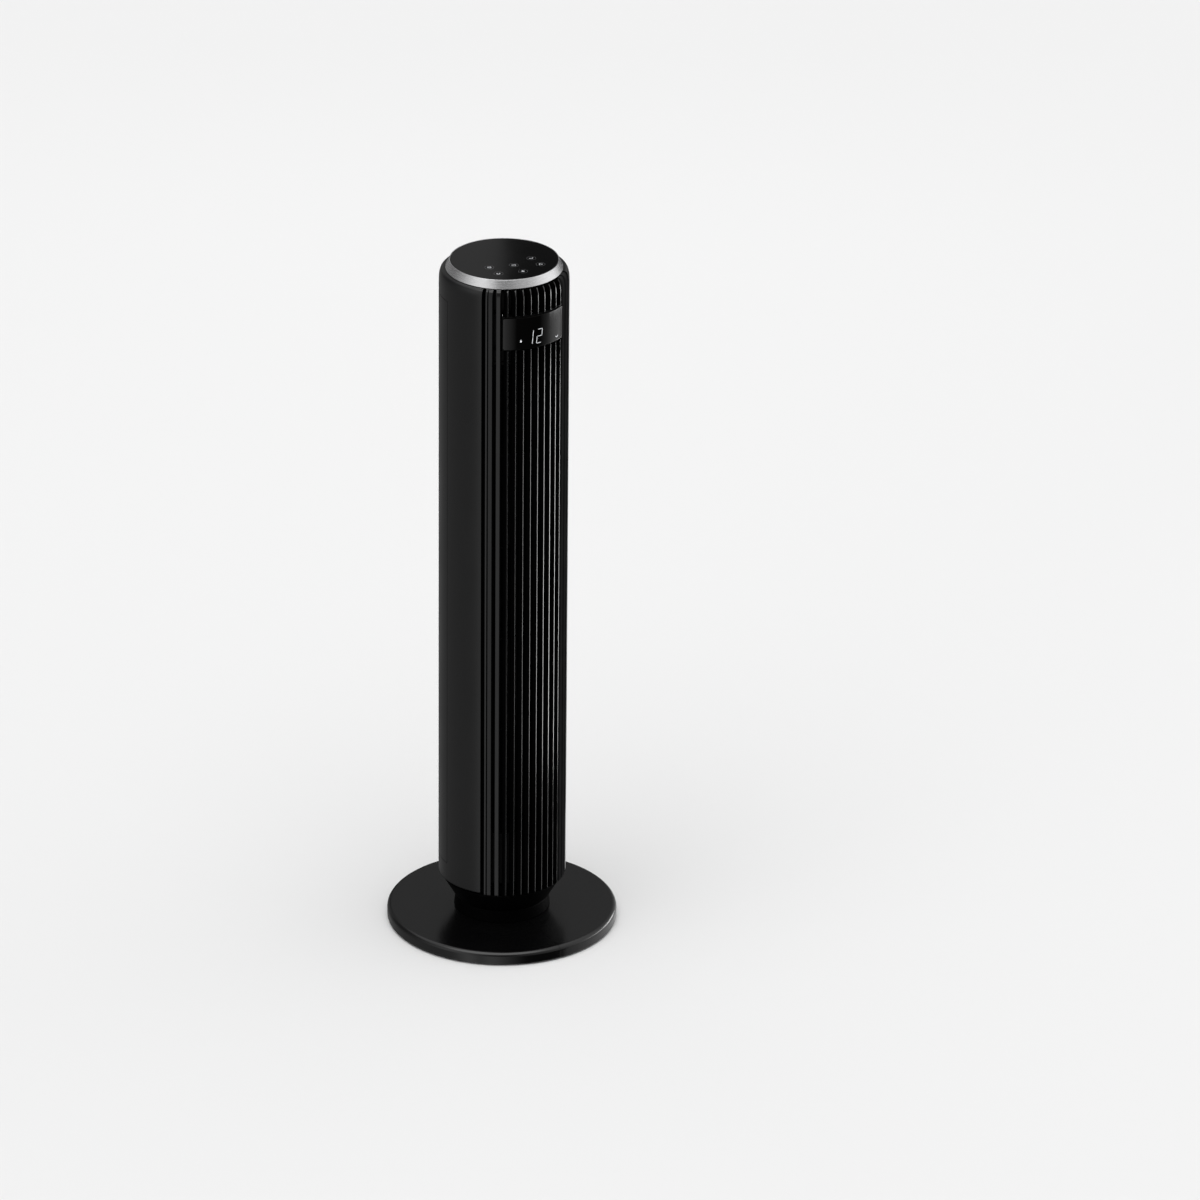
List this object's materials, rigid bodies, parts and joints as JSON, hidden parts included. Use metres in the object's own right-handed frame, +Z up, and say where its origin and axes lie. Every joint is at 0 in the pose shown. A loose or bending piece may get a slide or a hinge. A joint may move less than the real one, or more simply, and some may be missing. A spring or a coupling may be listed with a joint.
{
  "type": "tower fan",
  "caption": "Tall round tower fan: a ribbed column with a touch panel and a display window swings on a disc base and holds a crossflow impeller.",
  "frame": {"origin": "on the floor under the column's axis, at the centre of the disc base", "axes": "+Z up; -Y is the front, where the grille and the display face; +X is on the right of someone who stands behind the fan"},
  "size_m": [0.2974, 0.297, 0.92],
  "materials": {
    "satin_shell": "satin moulded plastic",
    "grille": "satin moulded plastic, finer grain",
    "touch_glass": "high gloss",
    "display_lens": "high gloss, smoked",
    "brushed_ring": "brushed round",
    "inner_plastic": "plain moulded plastic",
    "impeller_plastic": "moulded plastic",
    "rubber": "matt",
    "nylon": "natural nylon",
    "steel": "zinc plated",
    "lamination": "stacked sheet steel",
    "copper": "enamelled copper wire",
    "bronze": "sintered bronze",
    "circuit_board": "solder mask",
    "led_face": "white diffuser",
    "component_grey": "moulded"
  },
  "bodies": {
    "stand": {"base_half_left": "satin_shell", "base_half_right": "satin_shell", "foot_pad_1": "rubber", "foot_pad_2": "rubber", "foot_pad_3": "rubber", "foot_pad_4": "rubber", "foot_pad_5": "rubber", "foot_pad_6": "rubber", "lock_nut": "inner_plastic", "neck": "satin_shell", "cord_gland": "rubber", "thrust_washer": "nylon", "post_retainer": "steel", "swing_gear": "nylon"},
    "column": {"bottom_chassis": "satin_shell", "housing": "satin_shell", "front_grille": "grille", "rear_cover": "satin_shell", "cover_screw_bottom": "steel", "cover_screw_top": "steel", "handle_cup": "inner_plastic", "trim_ring": "brushed_ring", "touch_panel": "touch_glass", "top_deck": "inner_plastic", "touch_board": "circuit_board", "display_lens": "display_lens", "display_tray": "inner_plastic", "display_board": "circuit_board", "led_digits": "led_face", "remote_receiver": "component_grey", "main_board": "circuit_board", "duct_floor": "inner_plastic", "duct_ceiling": "inner_plastic", "scroll_wall": "inner_plastic", "vortex_wall": "inner_plastic", "motor_shell_lower": "steel", "motor_shell_upper": "steel", "motor_bush_lower": "bronze", "motor_bush_upper": "bronze", "stator_core": "lamination", "winding_lower": "copper", "winding_upper": "copper", "motor_mount_1": "rubber", "motor_mount_2": "rubber", "motor_mount_3": "rubber", "run_capacitor": "component_grey", "top_bearing_rubber": "rubber", "top_bearing_bush": "bronze", "swing_motor": "steel", "swing_motor_screw_left": "steel", "swing_motor_screw_right": "steel"},
    "impeller_wheel": {"impeller": "impeller_plastic", "motor_shaft": "steel", "rotor_core": "lamination", "top_stub_shaft": "steel"},
    "drive_pinion": {"swing_pinion": "nylon", "swing_shaft": "steel"}
  },
  "joints": [
    {"name": "column_swing", "type": "hinge", "parent": "stand", "child": "column", "pos_m": [0, 0, 0.0368], "axis": [0, 0, 1], "range_deg": [-45, 45]},
    {"name": "impeller_spin", "type": "hinge", "parent": "column", "child": "impeller_wheel", "pos_m": [0, 0, 0.158], "axis": [0, 0, 1], "continuous": true},
    {"name": "pinion_spin", "type": "hinge", "parent": "column", "child": "drive_pinion", "pos_m": [0, 0.0435, 0.0353], "axis": [0, 0, 1], "range_deg": [-142, 142]}
  ],
  "couplings": [
    {"joint": "pinion_spin", "follows": "column_swing", "ratio": 3.1429}
  ]
}
